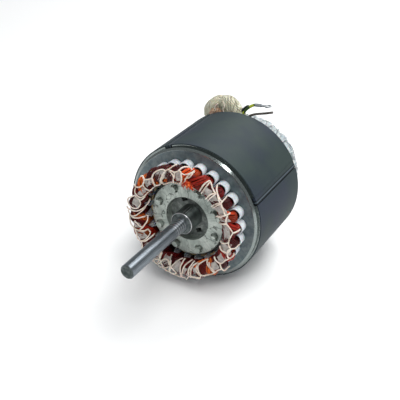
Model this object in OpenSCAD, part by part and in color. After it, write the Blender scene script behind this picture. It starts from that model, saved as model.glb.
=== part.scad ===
// Stator and rotor set of a built-in compressor motor, lying on its side
// Millimetres. The shaft runs along Y and leaves towards -Y, +Z is up
// The origin is on the shaft axis, halfway along the outer shell

/* [Core] */
// outer diameter of the stator shell
core_d = 180; // [120:1:260]
// length of the outer shell
core_len = 116; // [60:1:220]
// diameter of the turned register at the front
register_d = 173; // [110:1:255]
// how far the register stands ahead of the shell
register_len = 6; // [2:0.5:15]
// chamfer at the register's front edge
register_chamfer = 2.5; // [0.5:0.5:4]
// diameter of the stator bore
bore_d = 105; // [60:1:150]
// radial air gap between rotor and stator
air_gap = 0.5; // [0.3:0.05:1]

/* [Slots] */
// number of stator slots
slots = 24; // [12:12:36]
// angle of the first slot, from +Z towards +X
slot_phase = 9.5; // [0:0.5:15]
// slot width next to the bore
slot_w_in = 8.6; // [4:0.1:12]
// slot width at its round end, and the diameter of that end
slot_w_out = 11.6; // [6:0.1:16]
// radius at which the slot's straight sides start
slot_r_in = 54.5; // [40:0.5:90]
// radius of the centre of the slot's round end
slot_r_out = 65.5; // [50:0.5:110]
// width of the slot's mouth into the bore
mouth_w = 3; // [2:0.1:6]
// thickness of the slot liner
liner_t = 0.5; // [0.3:0.1:1]
// extra thickness of the folded cuff at each end of a liner
cuff_t = 1.4; // [0.6:0.1:2]
// how far the cuff stands out of the core
cuff_len = 8.5; // [3:0.5:15]
// thickness of the wedge that closes the slot
wedge_t = 1.6; // [1:0.1:3]

/* [Clamp cleats] */
// number of clamp cleats along the shell
cleats = 4; // [3:1:8]
// angle of the first cleat, from +Z towards +X
cleat_phase = 64.3; // [0:0.1:90]
// width of a cleat
cleat_w = 9.3; // [4:0.1:16]
// gap on the upper side of a cleat in its groove
cleat_gap_a = 0.4; // [0.2:0.1:2]
// gap on the lower side of a cleat in its groove
cleat_gap_b = 0.9; // [0.2:0.1:2]
// depth of the groove below the shell
cleat_depth = 4; // [2:0.1:6]
// how far the cleat's outer face lies below the shell
cleat_sink = 0.5; // [0:0.1:1]

/* [Winding] */
// centre radius of the outer row of coil ends
row_outer_r = 72.2; // [60:0.1:100]
// centre radius of the inner row of coil ends
row_inner_r = 59.5; // [50:0.1:90]
// radius of one coil bundle in the outer row
bundle_outer_r = 4.7; // [3:0.1:8]
// radius of one coil bundle in the inner row
bundle_inner_r = 5; // [3:0.1:8]
// height of the front winding head above the shell's front edge
head_front = 38; // [20:1:80]
// height of the rear winding head behind the shell's rear edge
head_rear = 44; // [20:1:80]
// outer radius of the wrapped rear head
head_rear_r = 75; // [60:0.5:100]
// thickness of the wrap on the rear head
wrap_t = 2; // [1:0.1:4]
// thickness of the paper between the rows of coils
phase_t = 0.4; // [0.3:0.1:1]
// width of a lacing loop
lace_w = 2.4; // [1:0.1:4]
// thickness of a lacing loop
lace_t = 1; // [0.6:0.1:2]

/* [Rotor] */
// outer radius of the cast end ring
ring_r = 49; // [30:0.5:80]
// inner radius of the cast end ring
ring_bore_r = 29; // [15:0.5:60]
// height of the end ring above the rotor core
ring_h = 12; // [5:0.5:30]
// number of balance pegs on an end ring
pegs = 8; // [4:1:16]
// angle of the first peg, from +Z towards +X
peg_phase = 19.3; // [0:0.1:45]
// radius of the circle of pegs
peg_pcd_r = 41; // [20:0.5:70]
// diameter of a peg
peg_d = 7; // [3:0.5:12]
// how far a peg stands above the ring's face
peg_h = 5; // [2:0.5:12]
// diameter of the pocket around a peg
pocket_d = 11; // [5:0.5:16]
// depth of the pocket around a peg
pocket_h = 3; // [1:0.5:8]
// number of cast bars in the rotor
bars = 28; // [16:1:48]

/* [Shaft] */
// diameter of the shaft's thick part, in the rotor
hub_d = 28.8; // [15:0.1:50]
// how far the thick part reaches ahead of the shell's front edge
hub_out = 33; // [10:1:80]
// diameter of the thin front end
shaft_d = 17.4; // [8:0.1:40]
// how far the shaft's tip reaches ahead of the shell's front edge
tip_out = 150; // [60:1:250]
// chamfer at the ends of the shaft
shaft_chamfer = 1; // [0.5:0.1:3]
// length of the two puller holes beside the shaft
vent_l = 8; // [3:0.5:12]
// width of the two puller holes beside the shaft
vent_w = 5.5; // [3:0.5:12]

/* [Leads] */
// diameter of the earth lead
earth_d = 3.8; // [2:0.1:6]
// diameter of the two other leads
lead_d = 3.2; // [2:0.1:6]

/* [Hidden] */
$fn = 96;
zf = core_len / 2;
zface = zf + register_len;
groove_w = cleat_w + cleat_gap_a + cleat_gap_b;
pitch = 360 / slots;
cleat_pitch = 360 / cleats;
rotor_r = bore_d / 2 - air_gap;
rotor_front = zf + 7;
rotor_rear = -zf - 1;
cuff_front = zface + cuff_len;
cuff_rear = -zf - cuff_len;
leg_top = cuff_front - 1;
leg_bottom = cuff_rear + 1;
head_top = zf + head_front;
head_bottom = -zf - head_rear;
vent_r = (hub_d / 2 + ring_bore_r) / 2;
paper_r = row_inner_r + bundle_inner_r + 0.7;
wrap_in_r = row_inner_r - bundle_inner_r - 0.5;
rear_mid_r = wrap_in_r + 0.58 * (head_rear_r - wrap_t - wrap_in_r);
rear_gap = 0.4;
rear_top = leg_bottom - 6.5;
rear_low = head_bottom + wrap_t + 8.5;
lead_y = zf + 20;
lead_z = head_rear_r;
bundle_path = [for (p = [[-55, 2, -9], [-55, 0, 1], [-45, -1, 9], [-31, 0, 14], [-20, 1, 12],
    [-12, 3, 7]]) p + [0, lead_y, lead_z]];
bundle_radii = [9.5, 10.5, 11.5, 12.5, 12.5, 9.5];
fold_path = [for (p = [[-44, 3, 4], [-20, 3, 6]]) p + [0, lead_y, lead_z]];
fold_radii = [9, 9];
earth_path = [for (p = [[-6, -1, -1], [-3, -2, 7], [1, -2.5, 14], [6, -3, 19], [11, -3, 22.5],
    [14, -3, 23.6]]) p + [0, lead_y, lead_z]];
black_path = [for (p = [[-20, 1, 1.5], [-15.5, 0.5, 1.5], [-11, 0, 3.5], [-7, -1, 7.5], [-4, -1.5, 12.5],
    [0, -1.5, 17], [4, -1, 19.5]]) p + [0, lead_y, lead_z]];
grey_path = [for (p = [[2, 3, -1], [5, 2.5, 4], [10, 2, 7.5], [17, 2, 10], [27, 2, 13],
    [37, 2, 16.5]]) p + [0, lead_y, lead_z]];

// turns a shape built along +Z so that it points to the front, along -Y
module axial() {
    rotate([90, 0, 0]) children();
}

// turns a shape built on +X to an angle counted from +Z towards +X in the model
module at_angle(a) {
    rotate([0, 0, 90 - a]) children();
}

// point at radius r, angle a and height z, before axial()
function polar(r, a, z) = [r * sin(a), r * cos(a), z];

function unit(v) = v / norm(v);

function tangent(p, i) =
    unit(p[min(i + 1, len(p) - 1)] - p[max(i - 1, 0)]);

// ring of points around p, square to t, turned by the side direction ref
function ring(p, t, r, n, ref) =
    let (u = unit(cross(t, ref)), v = cross(t, u))
    [for (j = [0 : n - 1]) p + r * (cos(360 * j / n) * u + sin(360 * j / n) * v)];

// closed tube of n sides along the points, with its own radius and side direction at each point
module tube(points, radii, n, refs) {
    m = len(points);
    verts = [for (i = [0 : m - 1]) each ring(points[i], tangent(points, i), radii[i], n, refs[i])];
    faces = concat(
        [[for (j = [0 : n - 1]) j]],
        [for (i = [0 : m - 2]) for (j = [0 : n - 1])
            [i * n + j, (i + 1) * n + j, (i + 1) * n + (j + 1) % n]],
        [for (i = [0 : m - 2]) for (j = [0 : n - 1])
            [i * n + j, (i + 1) * n + (j + 1) % n, i * n + (j + 1) % n]],
        [[for (j = [n - 1 : -1 : 0]) (m - 1) * n + j]]);
    polyhedron(points = verts, faces = faces, convexity = 6);
}

// outline of a slot on +X, grown by g on all sides
module slot_shape(g, r_start) {
    translate([slot_r_out, 0]) circle(d = slot_w_out + 2 * g, $fn = 32);
    polygon([[r_start, -slot_w_in / 2 - g], [slot_r_out, -slot_w_out / 2 - g],
             [slot_r_out, slot_w_out / 2 + g], [r_start, slot_w_in / 2 + g]]);
}

module stator_core() {
    color("#4f5a5e") axial() difference() {
        at_angle(cleat_phase) rotate_extrude() polygon([[bore_d / 2, -zf], [core_d / 2, -zf],
            [core_d / 2, zf], [register_d / 2, zf], [register_d / 2, zface - register_chamfer],
            [register_d / 2 - register_chamfer, zface], [bore_d / 2, zface]]);
        for (i = [0 : slots - 1]) at_angle(slot_phase + i * pitch)
            translate([0, 0, -zf - 1]) linear_extrude(core_len + register_len + 2) {
                slot_shape(0, slot_r_in);
                translate([bore_d / 2 - 1, -mouth_w / 2])
                    square([slot_r_in - bore_d / 2 + 1.5, mouth_w]);
            }
        for (i = [0 : cleats - 1]) at_angle(cleat_phase + i * cleat_pitch)
            translate([core_d / 2 - cleat_depth, -cleat_w / 2 - cleat_gap_b, -zf - 1])
                cube([cleat_depth + 2, groove_w, core_len + 1]);
    }
}

// one clamp cleat in its groove, its outer face following the shell
module clamp_cleat(i) {
    color("#6c7679") axial() at_angle(cleat_phase + (i - 1) * cleat_pitch)
        translate([0, 0, -zf]) linear_extrude(core_len - 0.5) intersection() {
            translate([core_d / 2 - cleat_depth, -cleat_w / 2])
                square([cleat_depth + 2, cleat_w]);
            circle(r = core_d / 2 - cleat_sink, $fn = 180);
        }
}

// one slot liner, open to the bore, with a folded cuff at each end
module slot_liner(i) {
    color("#eef0ee") axial() at_angle(slot_phase + (i - 1) * pitch) {
        translate([0, 0, cuff_rear]) linear_extrude(cuff_front - cuff_rear) difference() {
            slot_shape(0, slot_r_in);
            slot_shape(-liner_t, slot_r_in - 1);
        }
        translate([0, 0, zface]) linear_extrude(cuff_len) difference() {
            slot_shape(cuff_t, slot_r_in);
            slot_shape(0, slot_r_in - 1);
        }
        translate([0, 0, cuff_rear]) linear_extrude(cuff_len) difference() {
            slot_shape(cuff_t, slot_r_in);
            slot_shape(0, slot_r_in - 1);
        }
    }
}

module slot_wedges() {
    color("#c9b48c") axial() for (i = [0 : slots - 1]) at_angle(slot_phase + i * pitch)
        translate([slot_r_in, -slot_w_in / 2 + liner_t, -zf - 4])
            cube([wedge_t, slot_w_in - 2 * liner_t, core_len + register_len + 8]);
}

// the straight side of a coil in its slot
module coil_leg(a) {
    at_angle(a) translate([0, 0, leg_bottom - 5]) linear_extrude(leg_top - leg_bottom + 5) hull() {
        translate([slot_r_out, 0]) circle(d = slot_w_out - 2 * liner_t, $fn = 16);
        translate([slot_r_in + wedge_t, -slot_w_in / 2 + liner_t - 0.05])
            square([1, slot_w_in - 2 * liner_t + 0.1]);
    }
}

// one coil end that leaves the slot at angle a and comes down span degrees on
module coil_end(a, span, r_row, r_bundle, rise) {
    z0 = leg_top - 3.3;
    r0 = slot_r_out - 1.7;
    turn = [0, 0, 0.05, 0.5, 0.95, 1, 1];
    radius = [r0, r0 + 0.3 * (r_row - r0), r_row, r_row, r_row, r0 + 0.3 * (r_row - r0), r0];
    height = [z0, cuff_front + 2.2, cuff_front + 8, rise, cuff_front + 8, cuff_front + 2.2, z0];
    tube([for (k = [0 : 6]) polar(radius[k], a + span * turn[k], height[k])],
         [for (k = [0 : 6]) r_bundle], 6, [for (k = [0 : 6]) polar(1, a + span * turn[k], 0)]);
}

// the ring of coil ends at the rear between two radii, under the wrap, joined to every leg of its row
module rear_ring(first, r0, r1) {
    rotate_extrude($fn = 48) translate([r0, rear_low]) square([r1 - r0, rear_top - rear_low]);
    for (i = [0 : slots / 2 - 1]) at_angle(slot_phase + (first + 2 * i) * pitch)
        translate([(r0 + r1) / 2, 0, rear_top - 3]) cylinder(d = 4.6, h = 12, $fn = 12);
}

module coil_row(first, r_row, r_bundle, rise) {
    axial() for (i = [0 : slots / 2 - 1]) {
        coil_leg(slot_phase + (first + 2 * i) * pitch);
        coil_end(slot_phase + (first + 2 * i) * pitch, 4 * pitch, r_row, r_bundle, rise - (i % 2) * 2.5);
    }
}

module coil_row_outer() {
    color("#6b2a22") {
        coil_row(0, row_outer_r, bundle_outer_r, head_top - bundle_outer_r - lace_t);
        axial() rear_ring(0, rear_mid_r + phase_t / 2 + rear_gap, head_rear_r - wrap_t - 2);
    }
}

module coil_row_inner() {
    color("#7a3327") {
        coil_row(1, row_inner_r, bundle_inner_r, head_top - bundle_inner_r - lace_t - 2);
        axial() rear_ring(1, wrap_in_r + 0.3, rear_mid_r - phase_t / 2 - rear_gap);
    }
}

// a thin ring of paper between two heights
module paper_ring(r, z0, z1) {
    difference() {
        translate([0, 0, z0]) cylinder(r = r + phase_t / 2, h = z1 - z0);
        translate([0, 0, z0 - 1]) cylinder(r = r - phase_t / 2, h = z1 - z0 + 2);
    }
}

module phase_paper_front() {
    color("#b9a5a0") axial()
        paper_ring(paper_r, cuff_front + 0.42 * (head_top - cuff_front), head_top - lace_t);
}

module phase_paper_rear() {
    color("#b9a5a0") axial() paper_ring(rear_mid_r, rear_low, rear_top);
}

// one lacing loop around a winding head, between two radii and two heights
module lacing_loop(r0, r1, z0, z1, t) {
    c = 5;
    rotate([90, 0, 0]) translate([0, 0, -lace_w / 2]) linear_extrude(lace_w) difference() {
        polygon([[r0 - t, z0 + c], [r0 + c, z0 - t], [r1 - c, z0 - t], [r1 + t, z0 + c],
                 [r1 + t, z1 - c], [r1 - c, z1 + t], [r0 + c, z1 + t], [r0 - t, z1 - c]]);
        polygon([[r0, z0 + c], [r0 + c, z0], [r1 - c, z0], [r1, z0 + c],
                 [r1, z1 - c], [r1 - c, z1], [r0 + c, z1], [r0, z1 - c]]);
    }
}

module lacing_front() {
    color("#d9d4c4") axial() for (i = [0 : slots / 2 - 1])
        at_angle(slot_phase + (2 * i + 0.5) * pitch)
            lacing_loop(row_inner_r - bundle_inner_r - 0.3, row_outer_r + bundle_outer_r + 0.3,
                        cuff_front + 5, head_top - lace_t, lace_t);
}

module rear_wrap() {
    color("#cfd6d8") axial() rotate_extrude() difference() {
        wrap_outline(0);
        wrap_outline(wrap_t);
    }
}

// half section of the rear wrap, taken in by g
module wrap_outline(g) {
    z0 = head_bottom + g;
    z1 = cuff_rear - 1 + g;
    polygon([[wrap_in_r - wrap_t + g, z1], [wrap_in_r - wrap_t + g, z0 + 6], [wrap_in_r + 4, z0 + 1],
             [wrap_in_r + 9, z0], [head_rear_r - 14, z0], [head_rear_r - g - 6, z0 + 2.5],
             [head_rear_r - g - 1.5, z0 + 8], [head_rear_r - g, z0 + 15], [head_rear_r - g, z1 - 8],
             [head_rear_r - g - 1, z1]]);
}

module lacing_rear() {
    color("#d9d4c4") axial() for (i = [0 : slots / 2 - 1])
        at_angle(slot_phase + (2 * i + 0.5) * pitch)
            lacing_loop(wrap_in_r - wrap_t, head_rear_r, head_bottom, cuff_rear - 1, lace_t);
}

// a soft sleeve: balls of changing size, joined one to the next
module sleeve(path, radii) {
    for (i = [0 : len(path) - 2]) hull() {
        translate(path[i]) sphere(r = radii[i], $fn = 12);
        translate(path[i + 1]) sphere(r = radii[i + 1], $fn = 12);
    }
}

module lead_bundle() {
    color("#c8c2ab") {
        sleeve(bundle_path, bundle_radii);
        sleeve(fold_path, fold_radii);
    }
}

module lead(path, d) {
    tube(path, [for (p = path) d / 2], 8, [for (p = path) [0, 1, 0]]);
}

module earth_lead() {
    color("#6f8a2a") lead(earth_path, earth_d);
}

module black_lead() {
    color("#23282a") lead(black_path, lead_d);
}

module grey_lead() {
    color("#4a4744") lead(grey_path, lead_d);
}

// crimped barrel and flat eye on the end of the earth lead
module earth_terminal() {
    end = earth_path[len(earth_path) - 1];
    color("#b8bcc0") translate(end) rotate([0, 84, 0]) {
        cylinder(d = earth_d + 0.6, h = 9, $fn = 24);
        difference() {
            union() {
                translate([-0.6, -2.5, 8]) cube([1.2, 5, 7]);
                translate([-0.6, 0, 18]) rotate([0, 90, 0]) cylinder(d = 9, h = 1.2, $fn = 32);
            }
            translate([-2, 0, 18]) rotate([0, 90, 0]) cylinder(d = 5.2, h = 4, $fn = 32);
        }
    }
}

module rotor_core() {
    color("#3c4042") axial() difference() {
        translate([0, 0, rotor_rear]) cylinder(r = rotor_r, h = rotor_front - rotor_rear);
        translate([0, 0, rotor_rear - 1]) cylinder(d = hub_d, h = rotor_front - rotor_rear + 2);
        rotor_bars(rotor_rear - 1, rotor_front - rotor_rear + 2);
        for (s = [0, 180]) at_angle(151 + s)
            translate([vent_r - vent_w / 2, -vent_l / 2, rotor_rear - 1])
                cube([vent_w, vent_l, rotor_front - rotor_rear + 2]);
    }
}

// the cast bars that join both end rings through the rotor core
module rotor_bars(z, h) {
    for (i = [0 : bars - 1]) rotate([0, 0, i * 360 / bars])
        translate([0, 0, z]) linear_extrude(h)
            polygon([[ring_bore_r + 5, -1.2], [ring_r - 2, -2.6], [ring_r - 2, 2.6], [ring_bore_r + 5, 1.2]]);
}

// an end ring between z = 0 and ring_h, with its pockets and pegs
module end_ring() {
    difference() {
        union() {
            cylinder(r = ring_r, h = ring_h - 1);
            translate([0, 0, ring_h - 1]) cylinder(r1 = ring_r, r2 = ring_r - 1, h = 1);
        }
        translate([0, 0, -1]) cylinder(r = ring_bore_r, h = ring_h + 2);
        for (i = [0 : pegs - 1]) at_angle(peg_phase + i * 360 / pegs)
            translate([peg_pcd_r, 0, ring_h - pocket_h]) cylinder(d = pocket_d, h = pocket_h + 1, $fn = 32);
    }
    for (i = [0 : pegs - 1]) at_angle(peg_phase + i * 360 / pegs)
        translate([peg_pcd_r, 0, ring_h - pocket_h - 1])
            cylinder(d = peg_d, h = pocket_h + 1 + peg_h, $fn = 32);
}

module rotor_cage() {
    color("#9aa096") axial() {
        rotor_bars(rotor_rear - 1, rotor_front - rotor_rear + 2);
        translate([0, 0, rotor_front]) end_ring();
        translate([0, 0, rotor_rear]) mirror([0, 0, 1]) end_ring();
    }
}

module shaft() {
    tip = zf + tip_out;
    shoulder = zf + hub_out;
    tail = rotor_rear - ring_h - 6;
    color("#8e9498") axial() {
        translate([0, 0, tail]) cylinder(d1 = hub_d - 2 * shaft_chamfer, d2 = hub_d, h = shaft_chamfer);
        translate([0, 0, tail + shaft_chamfer]) cylinder(d = hub_d, h = shoulder - tail - 2 * shaft_chamfer);
        translate([0, 0, shoulder - shaft_chamfer])
            cylinder(d1 = hub_d, d2 = hub_d - 2 * shaft_chamfer, h = shaft_chamfer);
        translate([0, 0, shoulder - 1]) cylinder(d = shaft_d, h = tip - shoulder + 1 - shaft_chamfer);
        translate([0, 0, tip - shaft_chamfer])
            cylinder(d1 = shaft_d, d2 = shaft_d - 2 * shaft_chamfer, h = shaft_chamfer);
    }
}

stator_core();
for (i = [1 : cleats]) clamp_cleat(i);
for (i = [1 : slots]) slot_liner(i);
slot_wedges();
coil_row_outer();
coil_row_inner();
phase_paper_front();
phase_paper_rear();
lacing_front();
rear_wrap();
lacing_rear();
lead_bundle();
earth_lead();
black_lead();
grey_lead();
earth_terminal();
rotor_core();
rotor_cage();
shaft();
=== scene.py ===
# %% [markdown]
# # A compressor motor's stator and rotor
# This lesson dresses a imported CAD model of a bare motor: a blued lamination pack, white slot
# liners, laced copper coils, a cast rotor and a long ground shaft. It starts by loading the
# model as a fixed frame, so each new piece goes where the CAD says.

# %% Load the frame
import math
from functools import partial

import bpy
import numpy as np
from mathutils import Matrix


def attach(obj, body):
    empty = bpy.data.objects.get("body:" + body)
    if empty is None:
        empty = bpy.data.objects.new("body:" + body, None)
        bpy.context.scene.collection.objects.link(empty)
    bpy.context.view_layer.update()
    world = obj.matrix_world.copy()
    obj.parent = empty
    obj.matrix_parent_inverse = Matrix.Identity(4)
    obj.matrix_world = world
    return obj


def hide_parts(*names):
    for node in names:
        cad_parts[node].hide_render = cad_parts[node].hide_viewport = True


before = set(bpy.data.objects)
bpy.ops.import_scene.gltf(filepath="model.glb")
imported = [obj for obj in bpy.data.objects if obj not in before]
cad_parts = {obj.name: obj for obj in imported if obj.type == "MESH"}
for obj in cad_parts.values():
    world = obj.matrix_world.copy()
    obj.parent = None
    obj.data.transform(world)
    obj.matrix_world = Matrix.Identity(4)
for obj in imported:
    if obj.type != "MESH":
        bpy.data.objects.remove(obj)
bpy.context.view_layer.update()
rng = np.random.default_rng(12)

# %% [markdown]
# ## Sizes
# The same values as in the CAD source, in metres. The front of the motor is towards -Y, so a
# height `h` in front of the core's middle becomes `y = -h`.

# %% The main sizes
MM = 0.001
SLOTS = 24
PITCH = 360 / SLOTS
PHASE = 9.5  # angle of the first slot, in degrees from +Z towards +X
CORE_R = 90 * MM
HEAD_RC, HEAD_A = 65.3 * MM, 11.4 * MM  # front head's section: middle radius and half width
HEAD_HC, HEAD_B = 84.6 * MM, 10.4 * MM  # and its middle height and half height
WRAP_R, WRAP_H = 64.2, -84.6  # middle of the rear head's section, in mm
print(SLOTS, "slots,", PITCH, "degrees apart")

# %% [markdown]
# ## Colours, nodes and materials
# Hex colours are sRGB, and Blender wants linear numbers, so one function converts them. A shader
# node needs a line for each setting and link, so one function adds any node with all of them,
# and a material then reads as a short list of steps.

# %% Colours and nodes
MODES = {"Math": "operation", "Mix": "data_type"}


def lin(code):
    """c/12.92 below 0.04045, else ((c + 0.055)/1.055)**2.4, for each of r, g, b."""
    c = np.array([int(code[i : i + 2], 16) / 255 for i in (1, 3, 5)])
    c = np.where(c <= 0.04045, c / 12.92, ((c + 0.055) / 1.055) ** 2.4)
    return (*c.tolist(), 1.0)


def add(tree, kind, *inputs, out=0, stops=(), **values):
    """Adds a node. Its kind may be followed by its mode, as in Math MULTIPLY. inputs go to its
    sockets in order, values to the sockets or settings of those names, and stops to its colour
    ramp. Returns the output called out, or all its outputs for None."""
    kind, *mode = kind.split()
    node = tree.nodes.new("ShaderNode" + kind)
    if mode:
        setattr(node, MODES[kind], mode[0])
    for key in [key for key in values if hasattr(node, key)]:
        setattr(node, key, values.pop(key))
    sockets = [s for s in node.inputs if s.enabled]
    named = [(node.inputs[key], value) for key, value in values.items()]
    for socket, value in [*zip(sockets, inputs), *named]:
        if isinstance(value, bpy.types.NodeSocket):
            tree.links.new(value, socket)
        else:
            socket.default_value = lin(value) if isinstance(value, str) else value
    if stops:
        bar = node.color_ramp
        while len(bar.elements) < len(stops):
            bar.elements.new(0.5)
        for element, (place, code) in zip(bar.elements, stops):
            element.position = place
            element.color = lin(code)
    outs = [s for s in node.outputs if s.enabled]
    if out is None:
        return outs
    return node.outputs[out] if isinstance(out, str) else outs[out]


print("white is", lin("#ffffff"))


# %% Materials
def new_material(name, **values):
    """A material with one Principled shader and its socket values. Returns it, a function that
    adds a node to it, and one that links a node's output to a socket of the shader."""
    mat = bpy.data.materials.new(name)
    mat.use_nodes = True
    tree = mat.node_tree
    bsdf = tree.nodes["Principled BSDF"]
    for key, value in values.items():
        bsdf.inputs[key.replace("_", " ")].default_value = value

    def plug(out, socket):
        tree.links.new(out, bsdf.inputs[socket])

    return mat, partial(add, tree), plug


def clouded(name, cloud, stops, grain, depth, **values):
    """A finish whose colour drifts in clouds over a finer relief, depth mm deep. cloud and grain
    are the width in mm, detail and roughness of their noises, whose Scale is 1 / width."""
    mat, node, plug = new_material(name, **values)
    co = node("TexCoord", out="Object")
    clouds = node("TexNoise", co, 1 / (cloud[0] * MM), *cloud[1:])
    plug(node("ValToRGB", clouds, stops=stops), "Base Color")
    relief = node("TexNoise", co, 1 / (grain[0] * MM), *grain[1:])
    plug(node("Bump", Height=relief, Distance=depth * MM), "Normal")
    return mat


def dress(node, mat):
    """Gives a CAD node that is kept its material."""
    obj = bpy.data.objects[node]
    if not obj.material_slots:
        obj.data.materials.append(mat)
    for slot in obj.material_slots:
        slot.link = "OBJECT"
        slot.material = mat


print("material helpers ready")

# %% [markdown]
# ## Meshes from whole arrays
# Wires, cords and leads are all round sections that follow a path. Curve objects could draw them,
# but whole numpy arrays make hundreds at once and give full control of each point. `new_object`
# turns such arrays into one object, and `tubes` sweeps a round section along many paths.

# %% From arrays to a piece
def new_object(name, verts, faces, mat, tint=None, smooth=True):
    """faces is a list of (k, 3) or (k, 4) index arrays."""
    mesh = bpy.data.meshes.new(name)
    sizes = np.concatenate([np.full(len(f), f.shape[1]) for f in faces])
    loops = np.concatenate([f.ravel() for f in faces]).astype(np.int32)
    mesh.vertices.add(len(verts))
    mesh.vertices.foreach_set("co", np.asarray(verts, np.float32).ravel())
    mesh.loops.add(len(loops))
    mesh.loops.foreach_set("vertex_index", loops)
    mesh.polygons.add(len(sizes))
    starts = np.concatenate([[0], np.cumsum(sizes)[:-1]]).astype(np.int32)
    mesh.polygons.foreach_set("loop_start", starts)
    mesh.polygons.foreach_set("use_smooth", np.full(len(sizes), smooth))
    mesh.update(calc_edges=True)
    if tint is not None:
        layer = mesh.color_attributes.new("tint", "FLOAT_COLOR", "POINT")
        rgba = np.ones((len(verts), 4), np.float32)
        rgba[:, :3] = tint
        layer.data.foreach_set("color", rgba.ravel())
    mesh.validate()
    mesh.materials.append(mat)
    obj = bpy.data.objects.new(name, mesh)
    bpy.context.scene.collection.objects.link(obj)
    return obj


def seat(obj, node):
    """A stator piece: it stands for a CAD node, which it hides, and hangs from the stator's frame."""
    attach(obj, "stator")
    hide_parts(node)


print("pieces can be made")


# %% Tubes
def unit(v):
    """v over its length."""
    return v / np.maximum(np.linalg.norm(v, axis=-1, keepdims=True), 1e-12)


def tubes(paths, ref, radius, sides=6, closed=False):
    """Tubes along paths (m, n, 3). A ring is p + r (cos a u + sin a w), with u = t x ref and
    w = t x u, so u, w and the tangent t are square to each other."""
    paths = np.asarray(paths, float)
    m, n, _ = paths.shape
    if closed:
        t = unit(np.roll(paths, -1, 1) - np.roll(paths, 1, 1))
    else:
        t = unit(np.gradient(paths, axis=1))
    u = unit(np.cross(t, np.broadcast_to(ref, paths.shape)))
    w = np.cross(t, u)
    a = np.arange(sides) * 2 * np.pi / sides
    radius = np.broadcast_to(radius, (m, n))[:, :, None, None]
    verts = paths[:, :, None] + radius * (
        np.cos(a)[:, None] * u[:, :, None] + np.sin(a)[:, None] * w[:, :, None])
    ids = np.arange(m * n * sides).reshape(m, n, sides)
    near = ids if closed else ids[:, :-1]
    far = np.roll(ids, -1, 1) if closed else ids[:, 1:]
    quads = np.stack([near, np.roll(near, -1, 2), np.roll(far, -1, 2), far], -1).reshape(-1, 4)
    faces = [quads]
    verts = verts.reshape(-1, 3)
    if not closed:
        ends = np.concatenate([paths[:, 0], paths[:, -1]])
        tips = len(verts) + np.arange(2 * m)
        verts = np.concatenate([verts, ends])
        first, last = ids[:, 0], ids[:, -1]
        cap0 = np.stack([np.repeat(tips[:m, None], sides, 1), np.roll(first, -1, 1), first], -1)
        cap1 = np.stack([np.repeat(tips[m:, None], sides, 1), last, np.roll(last, -1, 1)], -1)
        faces += [cap0.reshape(-1, 3), cap1.reshape(-1, 3)]
    return verts, faces


def join(parts):
    """One vertex array and face list from several."""
    verts, faces, base = [], [], 0
    for v, fs in parts:
        verts.append(v)
        faces += [f + base for f in fs]
        base += len(v)
    return np.concatenate(verts), faces


print("tubes can be made")


# %% Curves, and places on the head
def curve_through(points, n):
    """Catmull-Rom curve through points (k, d), at n steps of even parameter."""
    p = np.asarray(points, float)
    p = np.vstack([2 * p[0] - p[1], p, 2 * p[-1] - p[-2]])
    t = np.linspace(0, len(p) - 3 - 1e-9, n)
    i = t.astype(int)
    f = (t - i)[:, None]
    a, b, c, d = p[i], p[i + 1], p[i + 2], p[i + 3]
    return 0.5 * (2 * b + (c - a) * f + (2 * a - 5 * b + 4 * c - d) * f**2
                  + (3 * b - a - 3 * c + d) * f**3)


def polar(r, angle, h):
    """Point at radius r, angle in degrees from +Z towards +X, and height h towards -Y."""
    a = np.radians(angle)
    return np.stack(np.broadcast_arrays(r * np.sin(a), -h, r * np.cos(a)), -1)


def head_point(angle, alpha, lift=0.0):
    """The front winding head's round surface. alpha runs from 0, its outside, over 90, its
    crown, to 180, its inside: r = rc + a cos^p, h = hc + b sin^p, a squared-off ellipse."""
    al = np.radians(alpha)
    c, s = np.cos(al), np.sin(al)
    p = 0.82
    r = HEAD_RC + (HEAD_A + lift) * np.sign(c) * np.abs(c) ** p
    h = HEAD_HC + (HEAD_B + lift) * np.sign(s) * np.abs(s) ** p
    return polar(r, angle, h)


def wobble(n, size, waves=3):
    """A smooth random line of n points, about size high: a sum of a few sines."""
    t = np.linspace(0, 1, n)
    k = np.arange(1, waves + 1)[:, None]
    amp = rng.normal(0, size, (waves, 1)) / k
    return (amp * np.sin(2 * np.pi * (k * t + rng.random((waves, 1))))).sum(0)


print("the head's crown is at", np.round(head_point(0, 90), 4), "m")

# %% [markdown]
# ## Camera
# The photograph was taken from about a metre, above the shaft end and 28 degrees to its right.
# The view was found by turning and moving the camera until the edges of the shell and the rings
# fell on those of the photograph. The lens is its focal length in picture widths times 36 mm.

# %% Place the camera
PICTURE, SENSOR = 400, 36  # widths, in pixels and in mm
FOCAL = 732  # of the lens, in pixels of the picture
AIM, DISTANCE = np.array([-23.2, 0, -18.0]) * MM, 0.9648
TURN, RISE, ROLL = 27.59, 29.51, 1.95  # degrees


def pose(obj, side, top, back, place):
    """Puts a camera or lamp at a place, with its axes, and into the scene."""
    rows = np.eye(4)
    rows[:3] = np.stack([side, top, back, place], 1)
    obj.matrix_world = Matrix(rows)
    bpy.context.scene.collection.objects.link(obj)


def set_camera():
    """Places the camera and returns its place and its three axes."""
    az, el, roll = (math.radians(v) for v in (TURN, RISE, ROLL))
    back = np.array([math.sin(az) * math.cos(el), -math.cos(az) * math.cos(el), math.sin(el)])
    right = np.array([math.cos(az), math.sin(az), 0.0])
    up = np.cross(back, right)
    side = math.cos(roll) * right + math.sin(roll) * up
    top = -math.sin(roll) * right + math.cos(roll) * up
    place = AIM + back * DISTANCE
    data = bpy.data.cameras.new("camera")
    data.sensor_fit = "HORIZONTAL"
    data.sensor_width = SENSOR
    data.lens = FOCAL / PICTURE * SENSOR
    cam = bpy.data.objects.new("camera", data)
    pose(cam, side, top, back, place)
    bpy.context.scene.camera = cam
    print("lens", round(data.lens, 1), "mm")
    return place, side, top, back


EYE = set_camera()
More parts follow.
